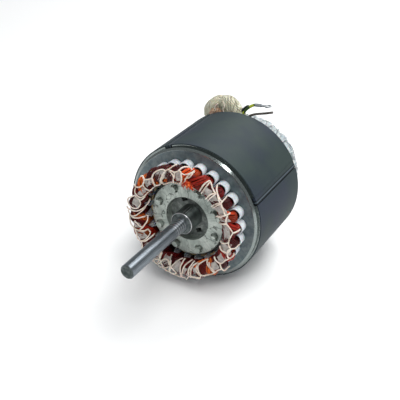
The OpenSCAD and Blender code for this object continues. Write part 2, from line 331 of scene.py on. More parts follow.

# %% [markdown]
# ## From a pixel to a place on the winding head
# The lacing and the paper follow no rule, so their places were read in four enlarged crops
# of the photograph. A crop is named by where it is, and holds the pixel of its corner and its
# scale. A spot in it becomes a place on the head, as the (angle, alpha) of the point of the
# head's front skin that the camera sees nearest to that spot. So each line lies on the head's
# round form, and looks right from other sides too.

# %% Spots in a crop
CROPS = {  # x and y of the corner in the photograph, and the scale
    "above left": (125, 150, 20.9),
    "below left": (125, 200, 19.6),
    "below": (190, 215, 22.4),
    "right": (185, 150, 19.6),
}
SKIN_LIFT = 1 * MM


def pixel_of(points):
    """x = middle + f side/depth and y = middle - f top/depth, along the camera's axes."""
    place, side, top, back = EYE
    d = points - place
    scale = FOCAL / -(d @ back)
    return PICTURE / 2 + np.stack([scale * (d @ side), -scale * (d @ top)], -1)


def seen_skin(step=0.5):
    """The (angle, alpha) of a fine grid on the head, and its pixels, where it faces the camera.
    A normal is the cross product of a step across and one along, turned to point outwards."""
    angle, alpha = np.meshgrid(np.arange(0, 360, step), np.arange(-30, 200, 2 * step), indexing="ij")
    skin = head_point(angle, alpha, SKIN_LIFT)
    across = head_point(angle, alpha + step, SKIN_LIFT) - skin
    along = head_point(angle + step, alpha, SKIN_LIFT) - skin
    out = np.cross(across, along)
    out *= np.sign((out * (skin - polar(HEAD_RC, angle, HEAD_HC))).sum())
    faces = (out * (EYE[0] - skin)).sum(-1) > 0
    return np.stack([angle, alpha], -1)[faces], pixel_of(skin)[faces]


SKIN_PLACES, SKIN_PIXELS = seen_skin()


def on_head(crop, spots):
    """(angle, alpha) of each spot (k, 2) of a crop. The angles run on over 360."""
    x, y, scale = CROPS[crop]
    pixels = np.array([x, y]) + np.array(spots, float) / scale
    near = np.linalg.norm(SKIN_PIXELS - pixels[:, None], axis=-1).argmin(1)
    places = SKIN_PLACES[near]
    places[:, 0] = np.degrees(np.unwrap(np.radians(places[:, 0])))
    return places


print(len(SKIN_PLACES), "places on the head face the camera")

# %% [markdown]
# ## Leads
# Three short lead ends stand free above the rear winding head. They come first, as their places
# are repeated from the CAD source. A lead could be a curve object, but a swept tube is a mesh at
# once, and its path also gives its true length. Insulation is PVC with a slight sheen, and the
# earth lead has a yellow stripe that winds round its green.

# %% The three leads
def insulation(name, base, dusty, second=None):
    """Soft plastic with clouds of dust 4 mm wide. The second colour is a stripe, which shows
    where sin(500 x + 900 y) is over 0.1, so it winds round a lead that bends."""
    mat, node, plug = new_material(name, Roughness=0.42, Specular_IOR_Level=0.5)
    co = node("TexCoord", out="Object")
    dirt = node("TexNoise", co, 1 / (4 * MM), 5)
    color = node("ValToRGB", dirt, stops=[(0.38, base), (0.66, dusty)])
    if second:
        x, y, _ = node("SeparateXYZ", co, out=None)
        turn = node("Math ADD", node("Math MULTIPLY", x, 500.0), node("Math MULTIPLY", y, 900.0))
        stripe = node("Math GREATER_THAN", node("Math SINE", turn), 0.1)
        color = node("Mix RGBA", stripe, color, second)
    plug(color, "Base Color")
    plug(node("Bump", Height=dirt, Distance=0.1 * MM), "Normal")
    return mat


def lead(name, points, diameter, mat):
    """A round tube along a smooth curve through points, with all sizes in mm."""
    path = curve_through(np.array(points) * MM, 22)
    v, f = tubes(path[None], (0, 1, 0), diameter / 2 * MM, 12)
    obj = new_object(name, v, f, mat)
    seat(obj, name.replace("_piece", ""))


lead("earth_lead_piece",
     [(-6, 77, 74), (-3, 76, 82), (1, 75.5, 89), (6, 75, 94), (11, 75, 97.5), (14, 75, 98.6)],
     3.8, insulation("Earth lead PVC", "#2b451c", "#3f5a2c", "#a9b52c"))
lead("black_lead_piece",
     [(-20, 79, 76.5), (-15.5, 78.5, 76.5), (-11, 78, 78.5), (-7, 77, 82.5), (-4, 76.5, 87.5),
      (0, 76.5, 92), (4, 77, 94.5)],
     3.2, insulation("Black lead PVC", "#171c1e", "#33393a"))
lead("grey_lead_piece",
     [(2, 81, 74), (5, 80.5, 79), (10, 80, 82.5), (17, 80, 85), (27, 80, 88), (37, 80, 91.5)],
     3.2, insulation("Grey lead PVC", "#3f3a36", "#5b554f"))

# %% [markdown]
# ## Steel of the core
# The outside of the lamination pack is blued: a smooth dark grey-blue oxide, which hides most of
# the metal's shine. The turned register at the front is bare bright steel, and the front face
# keeps its rolling skin, mottled blue-grey. They are one CAD solid, so one material tells them
# apart by the distance from the shaft's axis and by y, and stays sharp at any distance.

# %% Blued and turned steel
SKIN_R, FACE_R, FACE_Y = 88.6 * MM, 83.6 * MM, -57 * MM
SHEET = 0.5 * MM  # thickness of a lamination


def radius_of(node, x, z):
    """sqrt(x^2 + z^2), the distance from the shaft's axis."""
    squares = [node("Math MULTIPLY", v, v) for v in (x, z)]
    return node("Math SQRT", node("Math ADD", *squares))


def blued_skin(node, co):
    """The oxide drifts from a greenish to a bluish grey over 55 mm."""
    drift = node("TexNoise", co, 1 / (55 * MM), 3)
    return node("ValToRGB", drift, stops=[(0.34, "#2f3b3a"), (0.5, "#293439"), (0.66, "#29313d")])


def core_steel():
    """Beyond SKIN_R it is blued, within FACE_R and in front of FACE_Y it is the rolled face, and
    the rest is turned. Where two roughnesses a and b meet, the value is a + mask (b - a)."""
    mat, node, plug = new_material("Blued lamination steel, turned register",
                                   Specular_IOR_Level=0.25)
    co = node("TexCoord", out="Object")
    x, y, z = node("SeparateXYZ", co, out=None)
    r = radius_of(node, x, z)
    skin = node("Math GREATER_THAN", r, SKIN_R)
    is_face = node("Math MULTIPLY", node("Math LESS_THAN", r, FACE_R),
                   node("Math LESS_THAN", y, FACE_Y))
    grain = node("TexNoise", co, 1 / (1.2 * MM), 5, 0.65)
    bright = node("ValToRGB", grain, stops=[(0.3, "#6c7473"), (0.7, "#8f9694")])
    scale = node("TexNoise", co, 1 / (7 * MM), 6, 0.7)
    face = node("ValToRGB", scale, stops=[(0.3, "#58656a"), (0.5, "#6f7a7d"), (0.72, "#878e8d")])
    bare = node("Mix RGBA", is_face, bright, face)
    plug(node("Mix RGBA", skin, bare, blued_skin(node, co)), "Base Color")
    rough_skin = node("Math MULTIPLY_ADD", grain, 0.06, 0.62)
    rough_bright = node("Math MULTIPLY_ADD", grain, 0.08, 0.08)
    rough_face = node("Math MULTIPLY_ADD", grain, 0.2, 0.42)
    step = node("Math SUBTRACT", rough_face, rough_bright)
    rough = node("Math MULTIPLY_ADD", is_face, step, rough_bright)
    step = node("Math SUBTRACT", rough_skin, rough)
    plug(node("Math MULTIPLY_ADD", skin, step, rough), "Roughness")
    plug(node("Math MULTIPLY_ADD", skin, -0.8, 1.0), "Metallic")
    # the edges of the sheets are fine lines that run round the skin
    line = node("Math SINE", node("Math MULTIPLY", y, 2 * math.pi / SHEET))
    height = node("Math MULTIPLY_ADD", line, node("Math MULTIPLY", skin, 0.12), grain)
    plug(node("Bump", Height=height, Distance=0.03 * MM), "Normal")
    return mat


dress("stator_core", core_steel())
print("core dressed")

# %% [markdown]
# ## Clamp strips
# Four strips in grooves of the shell hold the laminations together. Each is bent up from a blued
# plate. The fold could be modelled, but it is only half a millimetre high, so the material paints
# its shade and highlight as dark and light lines along the strip, and a dark line of painted shade
# in the gap at its far edge.

# %% The strips
CLEATS, CLEAT_PHASE, CLEAT_R = 4, 64.3, 89.5 * MM  # angle of the first, and their middle radius


def strip_steel():
    """A strip is bent up from a blued plate. Its fold is painted shade, a dark line 0.3 mm off its
    middle, and a light ridge on the bare side is a painted highlight. off = r (angle - middle), with the
    angle taken modulo 90."""
    mat, node, plug = new_material("Cleat strip steel", Metallic=0.2, Specular_IOR_Level=0.25)
    co = node("TexCoord", out="Object")
    x, _, z = node("SeparateXYZ", co, out=None)
    grain = node("TexNoise", co, 1 / (2 * MM), 5, 0.6)
    angle = node("Math ARCTAN2", x, z)
    turn = node("Math MULTIPLY_ADD", angle, 2 / math.pi, 8.5 - CLEAT_PHASE / 90)
    off = node("Math MULTIPLY_ADD", node("Math FRACT", turn), math.pi / 2 * CLEAT_R,
               -math.pi / 4 * CLEAT_R)
    bare = node("ValToRGB", grain, stops=[(0.3, "#1d262c"), (0.7, "#2c363d")])
    # painted highlight: a light line on the bare side, 2.2 mm off the middle
    ridge = node("Math MULTIPLY", node("Math COMPARE", off, 2.2 * MM, 0.45 * MM), 0.8)
    bare = node("Mix RGBA", ridge, bare, "#5a6670")
    color = node("Mix RGBA", node("Math GREATER_THAN", off, 0.3 * MM), blued_skin(node, co), bare)
    # painted shade: dark lines at the fold and in the gap at the far edge
    for place, half in ((0.3, 0.4), (4.2, 0.5)):  # the fold and the far edge
        dark = node("Math COMPARE", off, place * MM, half * MM)
        color = node("Mix RGBA", dark, color, "#05080a")
    plug(color, "Base Color")
    plug(node("Math MULTIPLY_ADD", grain, 0.1, 0.57), "Roughness")
    plug(node("Bump", Height=grain, Distance=0.03 * MM), "Normal")
    return mat


strip = strip_steel()
for i in range(1, CLEATS + 1):
    dress(f"clamp_cleat_{i}", strip)
print(CLEATS, "strips dressed")

# %% [markdown]
# ## Slot liners
# Each slot is lined with white insulating film, which is pushed in along the slot and folded
# back at both ends into a cuff. A strip of fibre closes the slot and keeps its CAD form. A flat
# sheet given a thickness would do for a liner, but its corners would be sharp. Here a liner is
# one closed skin: its section follows the slot, a trapezoid with a round end, and it swells into
# the cuff, whose lip is round and a little uneven.

# %% The outline of a slot
OUTLINE = 30  # points of an outline
CUFF = 66 * MM  # where the front cuff begins
LINER = [  # heights along the slot, and how far the outer and inner skins are grown, in mm
    (-66.2, -0.1, -0.4), (-66.5, 0.5, -0.4), (-66.1, 1.15, -0.4), (-58.1, 1.4, -0.4),
    (-58, 0.0, -0.4), (0, 0.0, -0.4), (64, 0.0, -0.4), (64.1, 2.0, -0.4), (68, 1.9, 0.1),
    (73, 2.2, 0.6), (74.3, 2.1, 0.8), (74.6, 1.7, 1.1),
]


def slot_line(grow):
    """Points (r, side) from the bore up one straight side, round the outer end and back."""
    w0, w1, r0, r1 = 4.3 * MM + grow, 5.8 * MM + grow, 54.5 * MM, 65.5 * MM
    a = np.radians(np.linspace(-90, 90, OUTLINE - 6))
    arc = np.stack([r1 + w1 * np.cos(a), w1 * np.sin(a)], -1)
    left = np.linspace([r0, -w0], [r1, -w1], 4)[:-1]
    right = np.linspace([r1, w1], [r0, w0], 4)[1:]
    return np.concatenate([left, arc, right])


print("a slot is", np.round(np.ptp(slot_line(0), axis=0) / MM, 1), "mm deep and wide")


# %% The liners and the wedges
def slot_liner(k):
    """The outer skin from the rear to the front, then the inner one back to the rear."""
    angle = PHASE + PITCH * k
    rows = np.array(LINER) * MM
    rings = [(h, slot_line(out)) for h, out, _ in rows]
    rings += [(h - 0.1 * MM * (h > 70 * MM), slot_line(inner)) for h, _, inner in rows[::-1]]
    lip = 1 + 0.012 * wobble(OUTLINE, 1.0)
    verts = []
    for h, line in rings:
        if h > CUFF:
            line[:, 1] *= lip
            h = h + (h - CUFF) * 0.06 * wobble(OUTLINE, 0.4)
        side = line[:, 1:] * polar(1, angle + 90, 0)
        verts.append(polar(line[:, 0], angle, h) + side)
    ids = np.arange(len(rings) * OUTLINE).reshape(-1, OUTLINE)
    nxt = np.roll(ids, -1, 0)
    quads = np.stack([ids[:, :-1], nxt[:, :-1], nxt[:, 1:], ids[:, 1:]], -1).reshape(-1, 4)
    half = len(rows)
    caps = [np.stack([e[: half - 1], e[1:half], e[-2 : half - 1 : -1], e[-1:half:-1]], -1)
            for e in (ids[:, 0], ids[::-1, -1])]
    return np.concatenate(verts), [quads, *caps]


# polyester film lets a little light through, so it is milky white with grey clouds
film = clouded("Slot liner film", (5, 4), [(0.25, "#aab2ba"), (0.5, "#cfd4d8"), (0.8, "#e4e7e8")],
               (2.5, 4), 0.25, Roughness=0.45, Subsurface_Weight=0.15, Subsurface_Scale=0.002)
for k in range(SLOTS):
    v, f = slot_liner(k)
    liner = new_object(f"slot_liner_piece_{k + 1}", v, f, film)
    seat(liner, f"slot_liner_{k + 1}")
# pressed fibre is matt and tan, with fine blotches
fibre, node, plug = new_material("Wedge fibre", Roughness=0.8)
strands = node("TexNoise", node("TexCoord", out="Object"), 1 / (3 * MM), 5)
plug(node("ValToRGB", strands, stops=[(0.3, "#b9a377"), (0.7, "#d3c29b")]), "Base Color")
dress("slot_wedges", fibre)
print(SLOTS, "slot liners of", len(v), "points each")

# %% [markdown]
# ## Loose strands at the top slot
# At the topmost slot the binding has slipped, and single wires fan out over the inner edge of
# the head. They are coloured brighter than the coils, and their palest tone is a painted highlight.
# They could be placed one by one, but loose wires follow no rule, so each one bends through random
# points on its way.

# %% Loose wires
LOOSE, STEPS, SIDES = 60, 14, 5


def frayed(angle, r_end, spread):
    """Wires from a cuff's mouth inwards, to a radius within r_end and a turn within spread."""
    t = np.linspace(0, 1, 5)
    paths = []
    for _ in range(LOOSE):
        side = rng.uniform(-1, 1)
        r = 66 - (66 - rng.uniform(*r_end)) * t + rng.normal(0, 0.5, 5)
        h = np.interp(t, [0, 0.3, 0.62, 1], [72, 89, 97, rng.uniform(90, 97)])
        h = h + rng.normal(0, 0.7, 5)
        turn = side * np.interp(t, [0, 0.4, 1], [2.6, 3.2, spread]) + rng.normal(0, 0.8, 5)
        c = curve_through(np.stack([r, h, turn], -1), STEPS)
        paths.append(polar(c[:, 0] * MM, angle + c[:, 2], np.minimum(c[:, 1], 98.5) * MM))
    return tubes(paths, (0.2, 1, 0.1), 0.45 * MM, SIDES)


print(LOOSE, "loose wires to come")

# %% [markdown]
# ## Coil bundles
# From every slot a bundle of enamelled wires leaves the cuff and bends over the head. The outer
# row leans one way, the inner row the other, so they cross as real coil ends do. Every wire of a
# coil could be drawn, but most would be hidden. So a bundle is a core in a skin of single wires,
# which lie round an ellipse and twist slowly: p = path + a cos(f) u + b sin(f) w, with f growing
# along the path.

# %% The path of a bundle
WIRE = 1.25 * MM
WIRES, STATIONS, WIRE_SIDES = 24, 16, 5
WAYS = {  # radius and height in mm, and turn in degrees, along a coil end
    "outer": [(64.0, 58, 0), (64.2, 66, 0), (64.8, 73, 0), (66.8, 79, -0.2), (68.4, 85, -1),
              (67.0, 89.6, -3.5), (62.8, 90.8, -8), (59.0, 87, -14)],
    "inner": [(63.4, 58, 0), (62.4, 66, 0), (61.2, 73, 0), (59.9, 78, 1.5), (58.8, 83, 5),
              (59.0, 88, 10), (61.6, 89.8, 15), (65.4, 87, 20)],
}


def bundle_path(k, row):
    """Centre line of one coil end. The outer row bulges by up to 2.2 mm at the lower left."""
    c = np.array(WAYS[row])
    if row == "outer":
        c[3:6, 0] += 2.2 * (0.5 - 0.5 * math.cos(math.radians(PHASE + PITCH * k - 45)))
    c[3:, 1] += rng.normal(0, 0.35)
    c[3:, 2] += rng.normal(0, 0.7)
    c = curve_through(c, STATIONS)
    return polar(c[:, 0] * MM, PHASE + PITCH * k + c[:, 2], c[:, 1] * MM)


def frames(path):
    """u = tangent x outwards and w = u x tangent: both are square to the path, and w points away
    from the middle of the head."""
    t = unit(np.gradient(path, axis=0))
    angle = np.degrees(np.arctan2(path[:, 0], path[:, 2]))
    u = unit(np.cross(t, unit(path - polar(HEAD_RC, angle, 78 * MM))))
    return u, np.cross(u, t)


def leg(k, row):
    """The straight part of a bundle in its slot, down to the rear head."""
    h = np.array([60, 20, -20, -66, -74]) * MM
    r = np.array([63.6, 63.6, 63.6, 63.6, 68.2 if row == "outer" else 60.0]) * MM
    path = polar(r, PHASE + PITCH * k, h)
    return tubes(path[None], (0.3, 0, 1), np.array([4.6, 4.7, 4.7, 4.6, 2.2]) * MM, 12)


print("a leg has", len(leg(0, "outer")[0]), "points")


# %% A bundle and its enamel
def bundle(k, row, tone, a, b):
    """A core and its wires, with a colour for each point."""
    path = bundle_path(k, row)
    u, w = frames(path)
    s = np.linspace(0, 1, STATIONS)
    grow = np.interp(s, [0, 0.28, 0.5, 1], [0.66, 0.7, 1, 0.9])
    turn = np.arange(WIRES)[:, None] * 2 * np.pi / WIRES
    f = turn + rng.uniform(0.3, 0.9) * s
    f = f + 0.08 * np.stack([wobble(STATIONS, 1.0) for _ in range(WIRES)])
    lift = 1 + 0.05 * np.stack([wobble(STATIONS, 1.0) for _ in range(WIRES)])
    ca = (a - WIRE / 2) * grow * lift * np.cos(f)
    cb = (b - WIRE / 2) * grow * lift * np.sin(f)
    skin = tubes(path + ca[..., None] * u + cb[..., None] * w, w, WIRE / 2, WIRE_SIDES)
    core = tubes(path[None], w, (b - WIRE) * 0.95 * grow, 10)
    # painted shade: the wires are coloured darker deep in the cuff's mouth, and a little brighter half
    # way along
    deep = np.interp(s, [0, 0.3, 0.5, 1], [0.3, 0.5, 1.15, 1])
    tone = tone * np.repeat(deep, WIRE_SIDES)[:, None]
    # painted light and shade: the wires on one side of each bundle, a random side, are made lighter and
    # those on the other darker; each wire's tone also differs at random
    lit = 0.75 + 0.45 * np.sin(turn + rng.uniform(0, 6))
    shade = np.clip(rng.normal(1, 0.25, (WIRES, 1)) * lit, 0.35, 1.7)
    ends = shade * tone[-1]
    # painted shade: the core, seen between the wires, is coloured at about a third of the end's tone
    inside = np.tile(tone[-1] * 0.35, (len(core[0]), 1))
    tint = np.concatenate([(shade[:, :, None] * tone).reshape(-1, 3), ends, ends, inside])
    return join([skin, core]), tint


def enamel():
    """Clear red-brown enamel: the colour of each wire, with dark red stains 3 mm wide."""
    mat, node, plug = new_material("Enamelled copper wire", Roughness=0.32,
                                   Specular_IOR_Level=0.22)
    co = node("TexCoord", out="Object")
    stain = node("Math MULTIPLY", node("TexNoise", co, 1 / (3 * MM), 4), 0.5)
    tint = node("Attribute", attribute_name="tint", out="Color")
    plug(node("Mix RGBA", stain, tint, "#2e0a0a"), "Base Color")
    drops = node("TexNoise", co, 1 / (0.8 * MM), 3)
    plug(node("Bump", Height=drops, Distance=0.08 * MM), "Normal")
    return mat


wire_mat = enamel()
print(WIRES, "wires round each core")

# %% Both rows of coils
TONES = {"wine": "#670b0b", "brick": "#8f1d0c", "amber": "#c65a18", "ember": "#cf4216",
         "fire": "#f4581c"}
# the loose wires' tones: the palest, #f08a52, is a painted highlight
LOOSE_TONES = ("#f4581c", "#f08a52", "#b8321c")
ROWS = {  # half width and half height of a bundle in mm, and the slots that aren't wine red
    "outer": (7.4, 5.2, {0: "fire", 1: "brick", 4: "ember", 5: "brick", 7: "brick", 9: "amber",
                         10: "brick", 15: "brick", 16: "amber", 20: "amber"}),
    "inner": (6.2, 4.6, {9: "amber", 15: "brick", 16: "amber", 20: "amber", 21: "amber",
                         22: "brick"}),
}


def coil_row(row):
    """All bundles of a row, with a leg in every other slot, as one piece."""
    a, b, tones = ROWS[row]
    parts, tints = [], []
    for k in range(SLOTS):
        tone = np.array(lin(TONES[tones.get(k, "wine")])[:3])
        part, tint = bundle(k, row, tone, a * MM, b * MM)
        parts.append(part)
        tints.append(tint)
        if k % 2 == (row == "inner"):  # the rows take turns to fill a slot
            parts.append(leg(k, row))
            # painted shade: a leg, which runs in its slot, is coloured at half the bundle's tone
            tints.append(np.tile(tone * 0.5, (len(parts[-1][0]), 1)))
    if row == "outer":
        parts.append(frayed(PHASE, (52, 58), 8.5))
        hot = np.array([lin(code)[:3] for code in LOOSE_TONES])
        pick = hot[rng.integers(0, len(hot), LOOSE)]
        tints.append(np.concatenate([np.repeat(pick, STEPS * SIDES, 0), pick, pick]))
    v, f = join(parts)
    coils = new_object(f"coil_row_{row}_piece", v, f, wire_mat, np.concatenate(tints))
    seat(coils, f"coil_row_{row}")
    print(row, "row:", len(v), "points")


for row in ROWS:
    coil_row(row)

# %% [markdown]
# ## Phase paper
# Strips of pinkish grey paper part the phases, pushed in between the coils by hand. They show
# between the lacing in crumpled patches, whose boxes (left, top, right, bottom) were read in the
# crops. A cloth simulation could crumple them. Here each patch is a thin closed sheet, a grid on
# the head's surface that folds lift, so it can't sink into the coils.

# %% A crumpled patch
def patch(angle, alpha, wide, tall, folds=0.5 * MM, n=13):
    """A sheet wide and tall in degrees. Its ridges are the absolute values of two sines."""
    u, v = np.meshgrid(np.linspace(-1, 1, n), np.linspace(-1, 1, n), indexing="ij")
    skew = rng.uniform(-0.35, 0.35)
    ang = angle + wide / 2 * (u + skew * v) * (1 - 0.12 * v * v)
    alp = alpha + tall / 2 * (v + 0.15 * np.sin(3 * u + rng.uniform(0, 6)))
    turn = rng.uniform(0, np.pi)
    across = u * np.cos(turn) + v * np.sin(turn)
    along = u * np.sin(turn) - v * np.cos(turn)
    ridge = np.abs(np.sin(2.4 * across + rng.uniform(0, 3)))
    ridge += 0.5 * np.abs(np.sin(4.1 * along + rng.uniform(0, 3)))
    lift = folds * ridge - 0.3 * MM
    top = head_point(ang, alp, lift).reshape(-1, 3)
    low = head_point(ang, alp, lift - 0.35 * MM).reshape(-1, 3)
    ids = np.arange(n * n).reshape(n, n)
    quads = np.stack([ids[:-1, :-1], ids[:-1, 1:], ids[1:, 1:], ids[1:, :-1]], -1).reshape(-1, 4)
    rim = np.concatenate([ids[:-1, 0], ids[-1, :-1], ids[:0:-1, -1], ids[0, :0:-1]])
    nxt = np.roll(rim, -1)
    side = np.stack([rim, nxt, nxt + n * n, rim + n * n], -1)
    return np.concatenate([top, low]), [quads, quads[:, ::-1] + n * n, side]


# soaked paper is matt, pinkish grey and finely wrinkled
paper = clouded("Phase paper", (5, 5, 0.6), [(0.3, "#7e7873"), (0.5, "#a39c96"), (0.72, "#c2bbb7")],
                (1.5, 5), 0.3, Roughness=0.75, Subsurface_Weight=0.1, Subsurface_Scale=0.001)
print("paper ready")

# %% Place the paper
PAPER = {
    "right": [(340, 740, 520, 920), (470, 900, 620, 1060), (590, 1080, 750, 1280)],
    "below": [(640, 60, 800, 160), (740, 240, 850, 600), (640, 640, 820, 780),
              (600, 850, 780, 1060), (450, 1040, 600, 1250)],
    "above left": [(640, 430, 840, 600), (880, 440, 990, 560), (1050, 480, 1150, 660),
                   (400, 620, 580, 760), (300, 800, 420, 980), (170, 1000, 310, 1200)],
    "below left": [(250, 610, 410, 760), (190, 450, 300, 540), (740, 1060, 870, 1270),
                   (950, 1170, 1060, 1380), (1130, 1340, 1250, 1470)],
}
PATCHES = [(225, 105, 8, 36), (212, 112, 11, 62), (157, 104, 8, 34)]  # behind the shaft and below
for crop, boxes in PAPER.items():
    for x0, y0, x1, y1 in boxes:
        x, y = (x0 + x1) / 2, (y0 + y1) / 2
        places = on_head(crop, [(x, y), (x0, y), (x1, y), (x, y0), (x, y1)])
        PATCHES.append((*places[0], *(1.2 * np.ptp(places, axis=0))))
v, f = join([patch(*p) for p in PATCHES])
seat(new_object("phase_paper_front_piece", v, f, paper), "phase_paper_front")
dress("phase_paper_rear", paper)
print(len(PATCHES), "paper patches, the first three at", [p[:2] for p in PATCHES[:3]])

# %% [markdown]
# ## Rear winding head
# The rear head is bound with white cotton tape, which is wound on by hand and then laced. Its
# turns overlap, so the surface steps up at each edge and falls to the next, and it is wrinkled
# all over. One strip could be swept round the ring as a spiral, but its turns would cut through
# each other. So the ring is one skin, and a formula lifts it at edges, wrinkles and folds.

# %% The taped surface
N_A, N_B = 816, 44  # points round the motor, and round the ring's section


def creases(angle, b):
    """0 in the sharp folds that cross the ring, 1 between them."""
    a = np.radians(angle)
    first = np.abs(np.sin(17.5 * a + 1.6 * np.sin(2 * b + 9 * a)))
    second = np.abs(np.sin(11.5 * a - 2.4 * np.sin(b + 6 * a) + 1))
    return np.minimum(1, 1.6 * np.minimum(first, 1.4 * second))


def wrap_surface(angle, beta):
    """Points of the taped ring. Its section is a rounded box with beta running round it, and a
    turn of tape climbs from 0 to 1 over its width: lift = 0.9 turn^1.6 + wrinkles + folds."""
    b = np.radians(beta)
    c, s = np.cos(b), np.sin(b)
    r = WRAP_R + 10.0 * np.sign(c) * np.sqrt(np.abs(c))
    h = WRAP_H - 16.6 * np.sign(s) * np.sqrt(np.abs(s))
    slant = 0.55 * np.sin(b + 0.4) + 0.3 * np.sin(3 * np.radians(angle))
    turns = (angle * 34 / 360 + slant) % 1
    wrinkle = np.sin(angle * 1.9 + 3 * c + 2.3 * np.sin(angle * 0.31)) * np.sin(5 * b + angle * 0.23)
    wrinkle += 0.8 * np.sin(angle * 3.3 + 7 * s) * np.sin(9 * b - angle * 0.6)
    swell = 0.5 * np.sin(np.radians(angle) * 7 + 1) + 0.4 * np.sin(np.radians(angle) * 12)
    lift = 0.9 * turns**1.6 + 0.3 * wrinkle + 0.5 * swell + 1.5 * creases(angle, b) - 1.9
    return polar((r + lift * c) * MM, angle, (h - lift * s) * MM)


ids = np.arange(N_A * N_B).reshape(N_A, N_B)
nxt = np.roll(ids, -1, 0)
ring = np.stack([ids, nxt, np.roll(nxt, -1, 1), np.roll(ids, -1, 1)], -1).reshape(-1, 4)
print("the ring has", len(ring), "faces")


# %% The tape
def cotton_tape():
    """Warp times weft, of 0.45 mm threads. The folds are painted shade, dark where the point's tint is
    low, and so are thin crease lines.
    """
    turn = 2 * math.pi / (0.45 * MM)
    mat, node, plug = new_material("White cotton tape", Roughness=0.85, Subsurface_Weight=0.1,
                                   Subsurface_Scale=0.002, Sheen_Weight=0.3)
    co = node("TexCoord", out="Object")
    x, y, z = node("SeparateXYZ", co, out=None)
    around = node("Math MULTIPLY", node("Math ARCTAN2", x, z), turn * 70 * MM)
    warp = node("Math SINE", around)
    weft = node("Math SINE", node("Math MULTIPLY", y, turn))
    weave = node("Math MULTIPLY", warp, weft)
    cloud = node("TexNoise", co, 1 / (9 * MM), 5, 0.6)
    cloth = node("ValToRGB", cloud, stops=[(0.25, "#8b959c"), (0.5, "#b2babc"), (0.75, "#d3d8d8")])
    crease = node("TexNoise", co, 1 / (4 * MM), 5, 0.6)
    # painted shade: thin dark lines where the crease noise is near 0.5, and the folds, where the tint is
    # low, are coloured dark
    line = node("Math MULTIPLY", node("Math COMPARE", crease, 0.5, 0.02), 0.5)
    unshaded = node("Attribute", attribute_name="tint", out="Fac")
    fold = node("Math MAXIMUM", node("Math SUBTRACT", 1.0, unshaded), line)
    plug(node("Mix RGBA", fold, cloth, "#465056"), "Base Color")
    height = node("Math MULTIPLY_ADD", weave, 0.15, node("Math MULTIPLY", crease, 5.0))
    plug(node("Bump", Height=height, Distance=0.12 * MM), "Normal")
    return mat


ang, beta = np.meshgrid(np.arange(N_A) * 360 / N_A, np.arange(N_B) * 360 / N_B, indexing="ij")
# painted shade: the tint is low in the folds, where the tape is coloured dark
unshaded = np.clip(creases(ang, np.radians(beta)) * 1.7 - 0.1, 0.1, 1).reshape(-1, 1)
v = wrap_surface(ang, beta).reshape(-1, 3)
seat(new_object("rear_wrap_piece", v, [ring], cotton_tape(), unshaded), "rear_wrap")
print("rear head taped")


# %% The lacing of the rear head
def on_wrap(angle, beta, lift):
    """A line on the tape, lifted away from the middle of the ring's section."""
    p = wrap_surface(angle, beta)
    return p + unit(p - polar(WRAP_R * MM, angle, WRAP_H * MM)) * lift


def rear_lacing():
    """A loop round the ring at each slot, and a chain of stitches from loop to loop."""
    b = np.linspace(0, 360, 41)[:-1]
    loops = []
    for k in range(SLOTS):
        a = PHASE + 5 + PITCH * k + 3.5 * np.sin(np.radians(b)) + rng.normal(0, 0.6)
        loops.append(on_wrap(a, b, 0.5 * MM))
    a = np.arange(480) * 0.75
    b = 52 + 16 * np.sin(np.radians(a * 12)) + 6 * np.sin(np.radians(a * 5))
    chain = [on_wrap(a, b, 0.6 * MM)]
    return join([tubes(x, (0, 1, 0.01), 0.8 * MM, 6, closed=True) for x in (loops, chain)])


def cord_mat(name, *codes):
    """Twisted thread with wax in it: the light comes a little way through."""
    return clouded(name, (7, 4, 0.6), list(zip((0.28, 0.45, 0.75), codes)), (0.6, 3), 0.25,
                   Roughness=0.6, Subsurface_Weight=0.15, Subsurface_Scale=0.001)


cord = cord_mat("Waxed lacing cord", "#a89787", "#d4c6b8", "#ebe0d4")
white_cord = cord_mat("White lacing cord", "#8d9598", "#b4babb", "#cfd3d3")
v, f = rear_lacing()
seat(new_object("lacing_rear_piece", v, f, white_cord), "lacing_rear")
print("rear head laced with", SLOTS, "loops")

# %% [markdown]
# ## Lead bundle
# The winding's leads leave the rear head in cotton sleeves and are folded over once.
# A sleeve could be sculpted. Here it is a soft tube along a curve, which keeps it easy to move:
# a wide flattened section with folds along it, and a fine diagonal braid in its material.

# %% A sleeve
SLEEVE_N, SLEEVE_SIDES, TWIST = 60, 36, 0.6


def sleeve(points, radii, flat, folds):
    """A tube whose radius ripples: r (1 + folds * a sum of four sines of angle and length)."""
    path = curve_through(points, SLEEVE_N) * MM
    s = np.linspace(0, 1, SLEEVE_N)[:, None]
    r = np.interp(s, np.linspace(0, 1, len(radii)), radii) * MM
    t = unit(np.gradient(path, axis=0))
    u = unit(np.cross(t, (0, 1, 0)))
    w = np.cross(t, u)
    a = np.arange(SLEEVE_SIDES) * 2 * np.pi / SLEEVE_SIDES
    ph = rng.uniform(0, 6, 4)
    ripple = (np.sin(3 * a + 5 * s + ph[0]) + 0.7 * np.sin(7 * a - 9 * s + ph[1])
              + 0.5 * np.sin(13 * a + 11 * s + ph[2]) + 0.8 * np.sin(2 * a + 14 * s + ph[3]))
    rr = r * (1 + folds * ripple)
    rr[[0, -1]] *= 0.7
    b = a + TWIST * s
    rings = path[:, None] + (rr * np.cos(b))[..., None] * u[:, None]
    rings = rings + (flat * rr * np.sin(b))[..., None] * w[:, None]
    v, f = tubes(path[None], (0, 1, 0), 1, SLEEVE_SIDES)  # a plain tube, for its faces and tips
    v[:-2] = rings.reshape(-1, 3)
    return v, f


print("a sleeve has", 2 + SLEEVE_N * SLEEVE_SIDES, "points")


